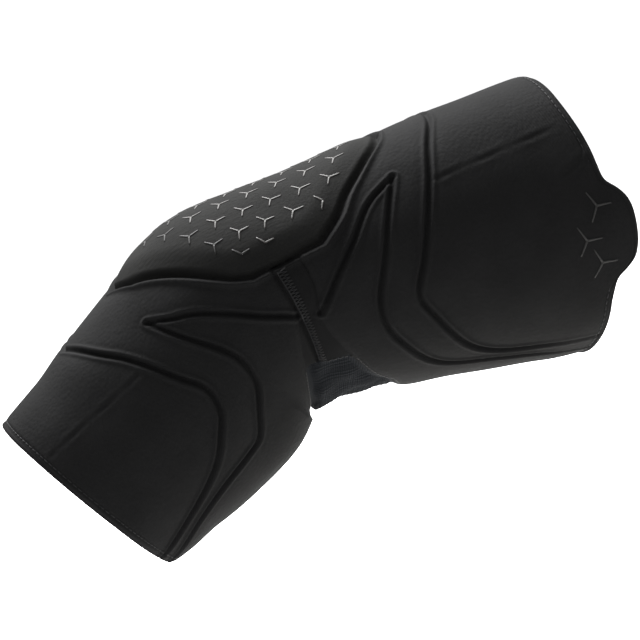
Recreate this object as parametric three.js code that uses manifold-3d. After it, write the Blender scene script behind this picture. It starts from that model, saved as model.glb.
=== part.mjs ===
// Padded compression elbow sleeve, worn shape: an upper-arm section, a forearm section and a
// soft elbow zone between them. Units are millimetres. The origin is the elbow's pivot, +X runs
// along the upper arm, +Z points to the outside of the elbow and Y is the axis the elbow bends on.
//
// Every piece is laid out on the unrolled sleeve and then wrapped onto it:
//   s  distance along the arm's centre line, 0 at the elbow, positive towards the upper arm
//   v  angle round the arm in degrees, 0 at the outer elbow, 90 on the -Y side, 180 in the crook
//   h  height above the pads' outer face, so the lining lies at a negative h

import * as THREE from 'three';
import { mergeVertices } from 'three/addons/utils/BufferGeometryUtils.js';
import Module from 'manifold-3d';

const wasm = await Module();
wasm.setup();

// ---------------------------------------------------------------- driving dimensions

const REST_BEND = THREE.MathUtils.degToRad(38);
const BEND_RADIUS = 60;
const UPPER_LENGTH = 153;
const FOREARM_LENGTH = 105;

// Outer radii of the sleeve at five places along it: [s, outer-elbow side, crook side].
const GIRTH = [
  [-105, 56.5, 43],
  [-52, 53, 56],
  [0, 53, 52],
  [76, 59, 56],
  [153, 66, 66.5],
];
const SIDE_RATIO = 0.87;

// Height ranges of the layers, lowest face first.
const GRIPPER_LAYER = [-8.6, -7.9];
const LINER_LAYER = [-7.5, -6.8];
const KNIT_LAYER = [-6.4, -5.7];
const PAD_LAYER = [-5.2, 0];
const CAP_FOAM_LAYER = [-5.2, 2];
const CAP_COVER_LAYER = [2.4, 3.2];
const SEAM_LAYER = [-5.2, -4.2];
const HEM_LAYER = [-7.5, 0];
const TAB_LAYER = [0.4, 2];

const HEM_WIDTH = 2.6;
const GRIPPER_WIDTH = 14;
const GAP = 0.4;
const GROOVE_WIDTH = 3;
const SEAM_WIDTH = 4;

// ---------------------------------------------------------------- the sleeve's surface

const ARC_HALF = (BEND_RADIUS * REST_BEND) / 2;
const TANGENT = BEND_RADIUS * Math.tan(REST_BEND / 2);

function centreLine(s) {
  const onArc = THREE.MathUtils.clamp(s, -ARC_HALF, ARC_HALF);
  const turn = REST_BEND / 2 - onArc / BEND_RADIUS;
  const along = s - onArc;
  return {
    x: TANGENT - BEND_RADIUS * Math.sin(turn) + along * Math.cos(turn),
    z: -BEND_RADIUS + BEND_RADIUS * Math.cos(turn) + along * Math.sin(turn),
    turn,
  };
}

// Smooth curve through one column of the GIRTH table.
function girth(s, column) {
  const last = GIRTH.length - 1;
  const at = THREE.MathUtils.clamp(s, GIRTH[0][0], GIRTH[last][0]);
  let i = 0;
  while (i < last - 1 && at > GIRTH[i + 1][0]) i += 1;
  const slope = (k) => {
    const a = Math.max(k - 1, 0);
    const b = Math.min(k + 1, last);
    return (GIRTH[b][column] - GIRTH[a][column]) / (GIRTH[b][0] - GIRTH[a][0]);
  };
  const width = GIRTH[i + 1][0] - GIRTH[i][0];
  const t = (at - GIRTH[i][0]) / width;
  const rise = GIRTH[i + 1][column] - GIRTH[i][column];
  const bend = (slope(i) * width - rise) * (1 - t) + (rise - slope(i + 1) * width) * t;
  return GIRTH[i][column] + t * rise + t * (1 - t) * bend;
}

function onSleeve(s, v, h) {
  const line = centreLine(s);
  const top = girth(s, 1);
  const crook = girth(s, 2);
  const side = (SIDE_RATIO * (top + crook)) / 2;
  const angle = THREE.MathUtils.degToRad(v);
  const reach = Math.cos(angle) > 0 ? top : crook;
  const slopeOut = Math.cos(angle) / reach;
  const slopeSide = Math.sin(angle) / side;
  const length = Math.hypot(slopeOut, slopeSide);
  const out = reach * Math.cos(angle) + (h * slopeOut) / length;
  const across = side * Math.sin(angle) + (h * slopeSide) / length;
  return new THREE.Vector3(
    line.x - Math.sin(line.turn) * out,
    -across,
    line.z + Math.cos(line.turn) * out,
  );
}

// ---------------------------------------------------------------- solids

function toSolid(geometry) {
  const bare = geometry.clone();
  bare.deleteAttribute('normal');
  bare.deleteAttribute('uv');
  const merged = mergeVertices(bare, 1e-5);
  return new wasm.Manifold(
    new wasm.Mesh({
      numProp: 3,
      vertProperties: new Float32Array(merged.attributes.position.array),
      triVerts: new Uint32Array(merged.index.array),
    }),
  );
}

function toGeometry(solid) {
  const mesh = solid.getMesh();
  const geometry = new THREE.BufferGeometry();
  geometry.setAttribute('position', new THREE.BufferAttribute(new Float32Array(mesh.vertProperties), 3));
  geometry.setIndex(new THREE.BufferAttribute(new Uint32Array(mesh.triVerts), 1));
  return geometry;
}

// Moves every vertex and turns the faces outwards again if the move mirrored them.
function moved(geometry, move) {
  const position = geometry.attributes.position;
  for (let i = 0; i < position.count; i += 1) {
    const p = move(position.getX(i), position.getY(i), position.getZ(i));
    position.setXYZ(i, p.x, p.y, p.z);
  }
  const index = geometry.index.array;
  const corner = [0, 1, 2].map(() => new THREE.Vector3());
  let volume = 0;
  for (let i = 0; i < index.length; i += 3) {
    corner.forEach((point, k) => point.fromBufferAttribute(position, index[i + k]));
    volume += corner[0].dot(corner[1].cross(corner[2]));
  }
  if (volume < 0) {
    for (let i = 0; i < index.length; i += 3) {
      const first = index[i];
      index[i] = index[i + 1];
      index[i + 1] = first;
    }
  }
  geometry.computeVertexNormals();
  return geometry;
}

// Grid lines of the unrolled sleeve. All layers share them, so their facets stay parallel.
const S_LINES = [-105, -84, -62, -40, -ARC_HALF, -13, -6.5, 0, 6.5, 13, ARC_HALF, 40, 62, 85, 108, 131, 153];
const V_STEP = 12;

function sheetBetween(outline, layer) {
  const allS = outline.map((p) => p[0]);
  const allV = outline.map((p) => p[1]);
  const lowS = Math.min(...allS);
  const highS = Math.max(...allS);
  const inside = S_LINES.filter((s) => s > lowS + 0.5 && s < highS - 0.5);
  const lines = [lowS - 0.3, ...inside, highS + 0.3];
  const lowV = Math.floor(Math.min(...allV) / V_STEP - 0.2) * V_STEP;
  const highV = Math.ceil(Math.max(...allV) / V_STEP + 0.2) * V_STEP;
  const columns = lines.length - 1;
  const grid = new THREE.BoxGeometry(1, 1, 1, columns, (highV - lowV) / V_STEP, 1);
  return moved(mergeFlat(grid), (x, y, z) => ({
    x: lines[Math.round((x + 0.5) * columns)],
    y: lowV + (y + 0.5) * (highV - lowV),
    z: z < 0 ? layer[0] : layer[1],
  }));
}

// The unrolled layout is laid on a shallow bowl while it is cut, which keeps every grid point,
// and taken off it again before it is wrapped.
const bowl = (s, v) => 0.001 * (s * s + v * v);

function mergeFlat(geometry) {
  geometry.deleteAttribute('normal');
  geometry.deleteAttribute('uv');
  return mergeVertices(geometry, 1e-5);
}

function prism(outline) {
  const shape = new THREE.Shape(outline.map((p) => new THREE.Vector2(p[0], p[1])));
  const geometry = new THREE.ExtrudeGeometry(shape, { depth: 160, bevelEnabled: false });
  geometry.translate(0, 0, -20);
  return toSolid(geometry);
}

// A flat piece with the given outline on the unrolled sleeve, wrapped onto the arm.
function wrapped(outline, layer) {
  const middle = (layer[0] + layer[1]) / 2;
  const bowed = moved(sheetBetween(outline, layer), (s, v, h) => ({ x: s, y: v, z: h + bowl(s, v) }));
  const cut = toSolid(bowed).intersect(prism(outline));
  return moved(toGeometry(cut), (s, v, z) => onSleeve(s, v, z - bowl(s, v) < middle ? layer[0] : layer[1]));
}

// A closed band round the arm. Its two ends are functions of the angle round the arm.
function band(startAt, endAt, layer, steps) {
  const core = 20;
  const profile = [];
  for (let i = 0; i <= steps; i += 1) profile.push(new THREE.Vector2(core + 1, i));
  for (let i = steps; i >= 0; i -= 1) profile.push(new THREE.Vector2(core, i));
  profile.push(profile[0].clone());
  const turned = mergeFlat(new THREE.LatheGeometry(profile, 360 / V_STEP));
  return moved(turned, (x, y, z) => {
    const v = THREE.MathUtils.radToDeg(Math.atan2(x, z));
    const h = Math.hypot(x, z) > core + 0.5 ? layer[1] : layer[0];
    return onSleeve(startAt(v) + ((endAt(v) - startAt(v)) * y) / steps, v, h);
  });
}

// ---------------------------------------------------------------- outlines

const mirror = (points) => points.map(([s, v]) => [s, -v]).reverse();
const offMiddle = (points) => points.filter((p) => p[1] !== 0);
const acrossTheTop = (points) => [...mirror(offMiddle(points)), ...points];
const bothHalves = (points) => [...points, ...mirror(offMiddle(points))];
const shifted = (points, step) => points.map(([s, v]) => [s + step, v]);

// Pulls a closed outline inwards by a distance, with short corners.
function inset(outline, distance) {
  const area = outline.reduce((sum, [s, v], i) => {
    const next = outline[(i + 1) % outline.length];
    return sum + s * next[1] - next[0] * v;
  }, 0);
  const inward = area > 0 ? 1 : -1;
  return outline.map((point, i) => {
    const before = outline[(i + outline.length - 1) % outline.length];
    const after = outline[(i + 1) % outline.length];
    const a = new THREE.Vector2(point[0] - before[0], point[1] - before[1]).normalize();
    const b = new THREE.Vector2(after[0] - point[0], after[1] - point[1]).normalize();
    const normal = new THREE.Vector2(-a.y - b.y, a.x + b.x).normalize();
    const spread = Math.max(Math.abs(normal.dot(new THREE.Vector2(-a.y, a.x))), 0.4);
    const shift = (inward * distance) / spread;
    return [point[0] + normal.x * shift, point[1] + normal.y * shift];
  });
}

// A strip of constant width along an open line.
function strip(line, width) {
  const left = [];
  const right = [];
  line.forEach((point, i) => {
    const before = line[Math.max(i - 1, 0)];
    const after = line[Math.min(i + 1, line.length - 1)];
    const side = new THREE.Vector2(before[1] - after[1], after[0] - before[0]).setLength(width / 2);
    left.push([point[0] + side.x, point[1] + side.y]);
    right.unshift([point[0] - side.x, point[1] - side.y]);
  });
  return [...left, ...right];
}

// A pad fills its outline up to the middle of the grooves round it.
const pad = (outline) => wrapped(inset(outline, GROOVE_WIDTH / 2), PAD_LAYER);

// Value of s on a line at the angle v, read along the line.
function lineAt(line, v) {
  const angle = Math.abs(v);
  const i = Math.max(line.findIndex((p) => p[1] >= angle), 1);
  const [s0, v0] = line[i - 1];
  const [s1, v1] = line[i];
  return THREE.MathUtils.lerp(s0, s1, THREE.MathUtils.clamp((angle - v0) / (v1 - v0), 0, 1));
}

// Groove and seam lines on one side of the arm, from the outer elbow towards the crook.
const CAP_LOW = [[-27, 0], [-18, 20], [-8, 45], [-1, 58], [5, 63.5]];
const CAP_HIGH = [[32, 60], [43, 50], [50, 40], [61, 27], [73, 12], [77, 0]];
const CAP_SIDE = [...CAP_LOW, ...CAP_HIGH];
const SIDE_SEAM = [[11, 66], [12, 75], [14, 90], [16, 104], [18, 117]];
const FLEX_EDGE = [[21, 62.5], [23, 74], [23, 91]];
const SPEAR_OUTER = [[71, 40], [57, 49], [45, 64], [35, 75], [23, 91]];
const SPEAR_INNER = [[71, 40], [63, 57], [55, 76], [49, 92], [50, 106], [58, 120], [69, 134], [82, 141], [106, 145]];
const CHEVRON_HIGH = [[101, 0], [98, 14], [91, 31], [84, 50], [72, 79], [66, 94], [71, 106], [84, 126], [96, 135], [114, 139]];
const CROOK_HIGH = [[20.5, 80], [22, 93], [26, 104], [34, 120], [43, 136], [52, 148], [57, 164], [58, 180]];
const CROOK_LOW = [[13, 91], [9, 111], [7, 124], [-1, 156], [-5, 180]];
const SPEAR_LOW_TOP = [[-28, 42], [-17, 56], [-8, 70], [1, 81], [13, 89]];
const SPEAR_LOW_SIDE = [[-28, 42], [-25, 56], [-19, 76], [-17, 90], [-21, 102], [-29, 111], [-39, 121], [-49, 122], [-62, 123], [-75, 127], [-88, 134]];
const CHEVRON_LOW = [[-60, 0], [-52, 28], [-45, 46], [-38, 71], [-35, 84], [-39, 95], [-47, 102], [-60, 111], [-86, 123]];

const UPPER_RIM = UPPER_LENGTH - HEM_WIDTH - GAP;
const LOWER_RIM = -FOREARM_LENGTH + HEM_WIDTH + GAP;
const PAD_TOP = UPPER_RIM + GROOVE_WIDTH / 2;
const PAD_BOTTOM = LOWER_RIM - GROOVE_WIDTH / 2;

const CLOSING_EDGE = 179.7;

const upperMain = acrossTheTop([...CHEVRON_HIGH, [PAD_TOP, 141]]);

const upperArch = bothHalves([
  ...[...CAP_HIGH].reverse(),
  ...FLEX_EDGE,
  ...SPEAR_OUTER.slice(0, -1).reverse(),
  ...SPEAR_INNER.slice(1),
  [PAD_TOP, 153],
  [PAD_TOP, 141],
  ...[...CHEVRON_HIGH].reverse(),
]);

const upperWing = [
  ...SPEAR_OUTER,
  ...CROOK_HIGH.slice(2, -1),
  [58, CLOSING_EDGE],
  [PAD_TOP, CLOSING_EDGE],
  [PAD_TOP, 153],
  ...SPEAR_INNER.slice(1).reverse(),
];

const forearmMain = acrossTheTop([...CHEVRON_LOW, [PAD_BOTTOM, 133]]);

const forearmArch = bothHalves([
  ...CAP_LOW,
  ...shifted(SIDE_SEAM.slice(0, 2), -1.2),
  ...[...SPEAR_LOW_TOP].reverse(),
  ...SPEAR_LOW_SIDE.slice(1),
  [PAD_BOTTOM, 146],
  [PAD_BOTTOM, 133],
  ...[...CHEVRON_LOW].reverse(),
]);

const forearmWing = [
  ...SPEAR_LOW_TOP,
  ...CROOK_LOW.slice(1, -1),
  [-5, CLOSING_EDGE],
  [PAD_BOTTOM, CLOSING_EDGE],
  [PAD_BOTTOM, 146],
  ...SPEAR_LOW_SIDE.slice(1).reverse(),
];

const elbowCap = bothHalves([...CAP_LOW, [22, 61.5], ...CAP_HIGH]);

// The elbow zone's fabrics run a little way under the upper-arm pads. They end in a flat edge
// on the forearm.
const ZONE_HIGH = [[20.5, 0], [21, 78], [33, 93], [41, 105], [47, 120], [52, 136], [56, 150], [60, 164], [61, 180]];
const ZONE_LOW = -ARC_HALF - 0.1;
const GUSSET_SIDE = 117.5;
const HALF_GAP = GAP / 2;

const upperKnit = [
  ...acrossTheTop([...shifted(ZONE_HIGH.slice(0, -1), HALF_GAP), [61, CLOSING_EDGE]]),
  [UPPER_RIM, CLOSING_EDGE],
  [UPPER_RIM, -CLOSING_EDGE],
];

const forearmKnit = [
  [LOWER_RIM, -CLOSING_EDGE],
  [LOWER_RIM, CLOSING_EDGE],
  [ZONE_LOW - HALF_GAP, CLOSING_EDGE],
  [ZONE_LOW - HALF_GAP, -CLOSING_EDGE],
];

const elbowKnit = bothHalves([
  [ZONE_LOW + HALF_GAP, 0],
  [ZONE_LOW + HALF_GAP, GUSSET_SIDE - HALF_GAP],
  [46 - HALF_GAP, GUSSET_SIDE - HALF_GAP],
  ...shifted(ZONE_HIGH.slice(0, 4), -HALF_GAP).reverse(),
]);

// The gusset is drawn through the crook, so its far half continues past 180 degrees.
const throughCrook = (points) => [
  ...points,
  ...points.filter((p) => p[1] !== 180).map(([s, v]) => [s, 360 - v]).reverse(),
];

const crookGusset = [
  ...throughCrook([[46 - HALF_GAP, GUSSET_SIDE + HALF_GAP], ...shifted(ZONE_HIGH.slice(4), -HALF_GAP)]),
  [ZONE_LOW + HALF_GAP, 360 - GUSSET_SIDE - HALF_GAP],
  [ZONE_LOW + HALF_GAP, GUSSET_SIDE + HALF_GAP],
];

const gussetSeamHigh = throughCrook([[21, 119.5], [29, 121], ...shifted(CROOK_HIGH.slice(4), -3)]);
const gussetSeamLow = throughCrook([[11, 123], ...shifted(CROOK_LOW.slice(3), 3)]);

const pullTab = [
  [134, 66], [150, 65], [157, 69], [163, 76], [166, 84], [166.5, 92], [164, 99], [158, 105], [150, 108], [134, 106],
];

// ---------------------------------------------------------------- pieces

const group = new THREE.Group();

function addPiece(name, geometry, color, roughness) {
  const material = new THREE.MeshStandardMaterial({ color, roughness, metalness: 0 });
  const mesh = new THREE.Mesh(geometry, material);
  mesh.name = name;
  group.add(mesh);
}

const FOAM = [0x2b2c2e, 0.85];
const COVER = [0x3a3a3b, 0.7];
const KNIT = [0x1c1c1d, 0.9];
const RIB = [0x2a2e33, 0.9];
const THREAD = [0x101011, 0.8];
const SILICONE = [0x202022, 0.35];

// Linings, from the wide rim to the narrow one.
const highEdge = (v) => lineAt(ZONE_HIGH, v);
addPiece('upper_liner', band((v) => highEdge(v) + HALF_GAP, () => UPPER_RIM, LINER_LAYER, 6), ...KNIT);
addPiece('elbow_liner', band(() => ZONE_LOW + HALF_GAP, (v) => highEdge(v) - HALF_GAP, LINER_LAYER, 7), ...KNIT);
addPiece('forearm_liner', band(() => LOWER_RIM, () => ZONE_LOW - HALF_GAP, LINER_LAYER, 4), ...KNIT);

// Stretch-knit shell that the foam pads are bonded to.
addPiece('upper_knit', wrapped(upperKnit, KNIT_LAYER), ...KNIT);
addPiece('elbow_knit', wrapped(elbowKnit, KNIT_LAYER), ...KNIT);
addPiece('crook_gusset', wrapped(crookGusset, KNIT_LAYER), ...RIB);
addPiece('forearm_knit', wrapped(forearmKnit, KNIT_LAYER), ...KNIT);

// Foam pads with their bonded face fabric.
addPiece('upper_main_pad', pad(upperMain), ...FOAM);
addPiece('upper_arch_pad', pad(upperArch), ...FOAM);
addPiece('upper_wing_pad_right', pad(upperWing), ...FOAM);
addPiece('upper_wing_pad_left', pad(mirror(upperWing)), ...FOAM);
addPiece('forearm_main_pad', pad(forearmMain), ...FOAM);
addPiece('forearm_arch_pad', pad(forearmArch), ...FOAM);
addPiece('forearm_wing_pad_right', pad(forearmWing), ...FOAM);
addPiece('forearm_wing_pad_left', pad(mirror(forearmWing)), ...FOAM);

// Elbow cap: impact foam and the hard-wearing cover over it.
addPiece('elbow_cap_foam', wrapped(inset(elbowCap, GROOVE_WIDTH / 2), CAP_FOAM_LAYER), ...FOAM);
addPiece('elbow_cap_cover', wrapped(inset(elbowCap, GROOVE_WIDTH / 2 + 0.5), CAP_COVER_LAYER), ...COVER);

// Sewn seams.
const sideSeam = strip(SIDE_SEAM, SEAM_WIDTH);
addPiece('side_seam_right', wrapped(sideSeam, SEAM_LAYER), ...THREAD);
addPiece('side_seam_left', wrapped(mirror(sideSeam), SEAM_LAYER), ...THREAD);
addPiece('gusset_seam_upper', wrapped(strip(gussetSeamHigh, 3), SEAM_LAYER), ...THREAD);
addPiece('gusset_seam_forearm', wrapped(strip(gussetSeamLow, 3), SEAM_LAYER), ...THREAD);
addPiece('upper_closing_seam', wrapped(strip([[62, 180], [UPPER_RIM, 180]], 3), SEAM_LAYER), ...THREAD);
addPiece('forearm_closing_seam', wrapped(strip([[LOWER_RIM, 180], [-8, 180]], 3), SEAM_LAYER), ...THREAD);

// Rims: binding round the edge, silicone band inside it, and the tab for pulling the sleeve on.
addPiece('upper_hem', band(() => UPPER_RIM + GAP, () => UPPER_LENGTH, HEM_LAYER, 1), ...THREAD);
addPiece('forearm_hem', band(() => -FOREARM_LENGTH, () => LOWER_RIM - GAP, HEM_LAYER, 1), ...THREAD);
const upperGrip = [UPPER_RIM - 2 - GRIPPER_WIDTH, UPPER_RIM - 2];
const forearmGrip = [LOWER_RIM + 2, LOWER_RIM + 2 + GRIPPER_WIDTH];
addPiece('upper_gripper', band(() => upperGrip[0], () => upperGrip[1], GRIPPER_LAYER, 1), ...SILICONE);
addPiece('forearm_gripper', band(() => forearmGrip[0], () => forearmGrip[1], GRIPPER_LAYER, 1), ...SILICONE);
addPiece('pull_tab', wrapped(pullTab, TAB_LAYER), ...COVER);

export default group;
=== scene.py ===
import math

import bpy
import numpy as np
from mathutils import Matrix, Vector, noise


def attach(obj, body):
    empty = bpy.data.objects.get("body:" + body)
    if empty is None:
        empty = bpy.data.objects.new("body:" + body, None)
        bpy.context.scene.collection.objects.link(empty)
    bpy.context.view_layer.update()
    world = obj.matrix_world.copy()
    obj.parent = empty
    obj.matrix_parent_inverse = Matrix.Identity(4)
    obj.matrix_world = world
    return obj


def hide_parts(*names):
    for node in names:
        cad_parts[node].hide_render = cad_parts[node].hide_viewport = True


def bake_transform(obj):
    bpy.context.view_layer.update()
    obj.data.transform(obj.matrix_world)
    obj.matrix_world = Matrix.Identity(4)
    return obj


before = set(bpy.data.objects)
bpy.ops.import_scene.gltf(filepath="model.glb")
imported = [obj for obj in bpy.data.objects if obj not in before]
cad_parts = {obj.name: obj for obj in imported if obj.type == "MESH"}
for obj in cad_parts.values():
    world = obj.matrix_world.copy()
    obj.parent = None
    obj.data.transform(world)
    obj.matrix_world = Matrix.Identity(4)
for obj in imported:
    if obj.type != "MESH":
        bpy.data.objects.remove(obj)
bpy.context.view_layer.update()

# ------------------------------------------------------------------ the sleeve's surface (mm)
# s runs along the arm's centre line, 0 at the elbow, positive towards the upper arm.
# v is the angle round the arm in degrees: 0 outer elbow, 90 on the -Y side, 180 in the crook.
# h is the height above the pads' outer face.

REST_BEND = math.radians(38)
BEND_RADIUS = 60.0
UPPER_LENGTH = 153.0
FOREARM_LENGTH = 105.0
# stations of the cross-section: s, reach on the outer side, reach in the crook
ELBOW_REACH, ELBOW_CROOK_REACH = 53, 52
GIRTH = np.array([
    [-FOREARM_LENGTH, 56.5, 43],
    [-52, 53, 56],
    [0, ELBOW_REACH, ELBOW_CROOK_REACH],
    [76, 59, 56],
    [UPPER_LENGTH, 66, 66.5],
], float)
SIDE_RATIO = 0.87  # reach at the sides, against the mean of the other two
ARC_HALF = BEND_RADIUS * REST_BEND / 2
TANGENT = BEND_RADIUS * math.tan(REST_BEND / 2)


def girth(s, column):
    """Smooth curve through one column of GIRTH."""
    x, y = GIRTH[:, 0], GIRTH[:, column]
    before = np.maximum(np.arange(len(x)) - 1, 0)
    after = np.minimum(np.arange(len(x)) + 1, len(x) - 1)
    slope = (y[after] - y[before]) / (x[after] - x[before])
    at = np.clip(s, x[0], x[-1])
    i = np.clip(np.searchsorted(x, at, side="left") - 1, 0, len(x) - 2)
    width, rise = x[i + 1] - x[i], y[i + 1] - y[i]
    t = (at - x[i]) / width
    bend = (slope[i] * width - rise) * (1 - t) + (rise - slope[i + 1] * width) * t
    return y[i] + t * rise + t * (1 - t) * bend


def smooth(x, low, high):
    """0 below low, 1 above high, and a soft step between them."""
    t = np.clip((x - low) / (high - low), 0, 1)
    return t * t * (3 - 2 * t)


def upper_rim_shape(v):
    """How far in mm the wide rim lies beyond its plain circle: out at the sides, drawn back at the crook."""
    return 3.1 * smooth(v, 26, 66) - 4.2 * smooth(v, 101, 122) - 3.4 * smooth(v, 116, 160)


def forearm_rim_shape(v):
    """The same for the narrow rim: drawn back on the outer side and out at the crook."""
    return -2.3 + 4.8 * smooth(v, 30, 160)


def on_sleeve(s, v, h):
    """Points in metres, in the part's frame, for arrays of s, v and h."""
    s, v, h = np.broadcast_arrays(np.asarray(s, float), np.asarray(v, float), np.asarray(h, float))
    half = np.abs((v + 180) % 360 - 180)
    s = s + upper_rim_shape(half) * smooth(s, 108, UPPER_LENGTH)
    s = s - forearm_rim_shape(half) * smooth(-s, 55, FOREARM_LENGTH)
    on_arc = np.clip(s, -ARC_HALF, ARC_HALF)
    turn = REST_BEND / 2 - on_arc / BEND_RADIUS
    along = s - on_arc
    cx = TANGENT - BEND_RADIUS * np.sin(turn) + along * np.cos(turn)
    cz = -BEND_RADIUS + BEND_RADIUS * np.cos(turn) + along * np.sin(turn)
    top, crook = girth(s, 1), girth(s, 2)
    side = SIDE_RATIO * (top + crook) / 2
    angle = np.radians(v)
    reach = np.where(np.cos(angle) > 0, top, crook)
    out, across = np.cos(angle) / reach, np.sin(angle) / side
    length = np.hypot(out, across)
    r = reach * np.cos(angle) + h * out / length
    y = side * np.sin(angle) + h * across / length
    return np.stack([cx - np.sin(turn) * r, -y, cz + np.cos(turn) * r], -1) / 1000


# ------------------------------------------------------------------ lines of the pattern
# Points [s, v] on one side; the other side mirrors them.

CAP_LOW = [[-27, 0], [-18, 20], [-8, 45], [-1, 58], [5, 63.5]]
CAP_HIGH = [[32, 60], [43, 50], [50, 40], [61, 27], [73, 12], [77, 0]]
CAP_SIDE = [[5, 63.5], [14, 63.5], [23, 61.5]]
SIDE_SEAM = [[11, 66], [12, 75], [14, 90], [16, 104], [18, 117]]
FLEX_EDGE = [[20, 62], [22, 68], [23.5, 78], [23, 91]]
SPEAR_OUTER = [[71, 40], [57, 49], [45, 64], [35, 75], [23, 91]]
SPEAR_INNER = [
    [71, 40], [63, 57], [55, 76], [49, 92], [50, 106], [58, 120], [69, 134], [82, 141], [106, 145],
    [153, 154],
]
CHEVRON_HIGH = [
    [101, 0], [98, 14], [91, 31], [84, 50], [72, 79], [66, 94], [71, 106], [84, 126], [96, 135], [114, 139],
    [153, 141],
]
CROOK_HIGH = [[20.5, 80], [22, 93], [26, 104], [34, 120], [43, 136], [52, 148], [57, 164], [58, 180]]
CROOK_LOW = [[13, 91], [9, 111], [7, 124], [-1, 156], [-5, 180]]
SPEAR_LOW_TOP = [[-28, 42], [-17, 56], [-8, 70], [1, 81], [13, 89]]
SPEAR_LOW_SIDE = [
    [-28, 42], [-25, 56], [-19, 76], [-17, 90], [-21, 102], [-29, 111], [-39, 121], [-49, 122], [-62, 123],
    [-75, 127], [-88, 134], [-105, 147],
]
CHEVRON_LOW = [
    [-60, 0], [-52, 28], [-45, 46], [-38, 71], [-35, 84], [-39, 95], [-47, 102], [-60, 111], [-86, 123],
    [-105, 134],
]
CREASES = [
    [[-47, 55], [-60, 53], [-76, 50], [-98, 47]],
    [[86, 49], [143, 44]],
    [[138, 64], [151, 59]],
]
CROOK_START = 91  # v where the side panel's edges turn into the crook's
GUSSET_SIDE = 117.5  # v where the side panel meets the gusset
MM_PER_DEGREE = 0.95
SPLINE_STEPS = 6


def rounded(line):
    """Catmull-Rom curve through the points of an open line."""
    p = np.array(line, float)
    p = np.vstack([2 * p[0] - p[1], p, 2 * p[-1] - p[-2]])
    t = np.linspace(0, 1, SPLINE_STEPS, endpoint=False)[:, None]
    parts = []
    for i in range(1, len(p) - 2):
        a, b, c, d = p[i - 1], p[i], p[i + 1], p[i + 2]
        square, cube = 2 * a - 5 * b + 4 * c - d, 3 * b - a - 3 * c + d
        parts.append(0.5 * (2 * b + (c - a) * t + square * t**2 + cube * t**3))
    parts.append(p[-2][None])
    return np.vstack(parts)


def stretch(s, v):
    """How much longer a step in s is on the surface than on the centre line."""
    facing = np.cos(np.radians(v))
    radius = np.where(facing > 0, ELBOW_REACH, ELBOW_CROOK_REACH) * facing
    on_arc = 1 / (1 + np.exp((np.abs(s) - ARC_HALF) / 2))
    return 1 + on_arc * radius / BEND_RADIUS


def distance(s, v, line, near=14.0):
    """Distance in mm on the surface from each (s, v) to a line, up to a limit."""
    best = np.full(s.shape, near)
    line = np.asarray(line, float)
    margin = near * 1.2
    low, high = line.min(0) - margin, line.max(0) + margin
    close = (s > low[0]) & (s < high[0]) & (v > low[1]) & (v < high[1])
    if not close.any():
        return best
    ss, vv = s[close], v[close]
    k = np.clip(stretch(ss, vv), 0.25, None)
    found = np.full(ss.shape, near)
    for a, b in zip(line[:-1], line[1:]):
        px, py = (ss - a[0]) * k, (vv - a[1]) * MM_PER_DEGREE
        dx, dy = (b[0] - a[0]) * k, (b[1] - a[1]) * MM_PER_DEGREE
        t = np.clip((px * dx + py * dy) / np.maximum(dx * dx + dy * dy, 1e-9), 0, 1)
        found = np.minimum(found, np.hypot(px - t * dx, py - t * dy))
    best[close] = found
    return best


def inside(s, v, polygon):
    """Whether each (s, v) lies inside a closed polygon."""
    result = np.zeros(s.shape, bool)
    for (x0, y0), (x1, y1) in zip(polygon, polygon[1:] + polygon[:1]):
        crosses = (y0 > v) != (y1 > v)
        with np.errstate(divide="ignore", invalid="ignore"):
            at = x0 + (v - y0) * (x1 - x0) / (y1 - y0)
        result ^= crosses & (s < at)
    return result


def edge_at(line, v):
    """s of a line at each v."""
    line = np.asarray(line, float)
    return np.interp(v, line[:, 1], line[:, 0])


def bump(d, width):
    """A soft ridge, 1 where d is 0 and fading over width."""
    return np.exp(-((d / width) ** 2))


CAP_LOW_CURVE = rounded(CAP_LOW)
CAP_HIGH_CURVE = rounded(CAP_HIGH)[::-1]
CAP_LINE = np.vstack([CAP_LOW_CURVE, CAP_SIDE[1:], CAP_HIGH_CURVE[::-1]])
FLEX_LINE = rounded(FLEX_EDGE)
LOW_LINE = rounded(CROOK_LOW)
HIGH_LINE = rounded(CROOK_HIGH)
SEAM_LINE = rounded(SIDE_SEAM)
# each pressed groove with its strength
GROOVES = [
    (rounded(SPEAR_OUTER), 1.0),
    (rounded(SPEAR_INNER), 1.0),
    (rounded(CHEVRON_HIGH), 1.0),
    (rounded(SPEAR_LOW_TOP), 1.0),
    (rounded(SPEAR_LOW_SIDE), 1.0),
    (rounded(CHEVRON_LOW), 1.0),
    (FLEX_LINE, 0.45),
]
CAP_POLYGON = [list(p) for p in CAP_LINE] + [[CAP_HIGH[-1][0], -5], [CAP_LOW[0][0], -5]]
UPPER, FOREARM, CAP, FLEX, GUSSET = range(5)


def regions(s, v):
    """Which panel each point belongs to."""
    low = np.where(v < CROOK_START, edge_at(SIDE_SEAM, v), edge_at(CROOK_LOW, v))
    high = np.where(v < CROOK_START, edge_at(FLEX_EDGE, v), edge_at(CROOK_HIGH, v))
    region = np.where(s < low, FOREARM, UPPER)
    region = np.where((s >= low) & (s < high), np.where(v < GUSSET_SIDE, FLEX, GUSSET), region)
    return np.where(inside(s, v, CAP_POLYGON), CAP, region)


def fabric_noise(points, scale, seed):
    """Smooth noise at points in mm; each seed looks at another part of it."""
    shift = Vector((seed * 7.31, seed * 3.17, seed * 5.77))
    return np.array([noise.noise(Vector(p) * scale + shift) for p in points])


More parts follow.
